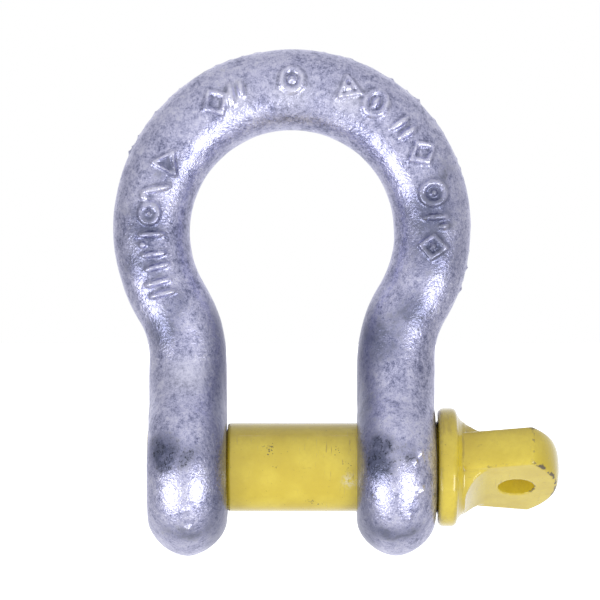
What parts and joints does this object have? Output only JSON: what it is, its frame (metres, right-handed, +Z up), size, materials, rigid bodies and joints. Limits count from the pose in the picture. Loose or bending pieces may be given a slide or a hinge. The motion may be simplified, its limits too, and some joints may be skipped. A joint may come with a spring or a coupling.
{
  "type": "bow shackle",
  "caption": "Bow shackle for lifting and rigging: a forged, galvanised bow of round bar whose jaw is closed by a painted screw pin with a collar and a flattened eye head.",
  "frame": {"origin": "on the screw pin's axis, midway between the two ears' inner faces", "axes": "+X along the screw pin towards its head, +Z up to the crown of the bow, +Y through the bow"},
  "size_m": [0.0945, 0.0378, 0.1075],
  "materials": {
    "galvanised_zinc": "hot-dip galvanised forged steel, mottled blue-grey, satin",
    "yellow_paint": "gloss yellow paint on forged steel, speckled, worn along the edges"
  },
  "bodies": {
    "shackle_body": {"bow": "galvanised_zinc"},
    "pin_body": {"screw_pin": "yellow_paint"}
  },
  "joints": [
    {"name": "pin_withdraw", "type": "slide", "parent": "shackle_body", "child": "pin_body", "axis": [1, 0, 0], "range_m": [0, 0.065]}
  ]
}
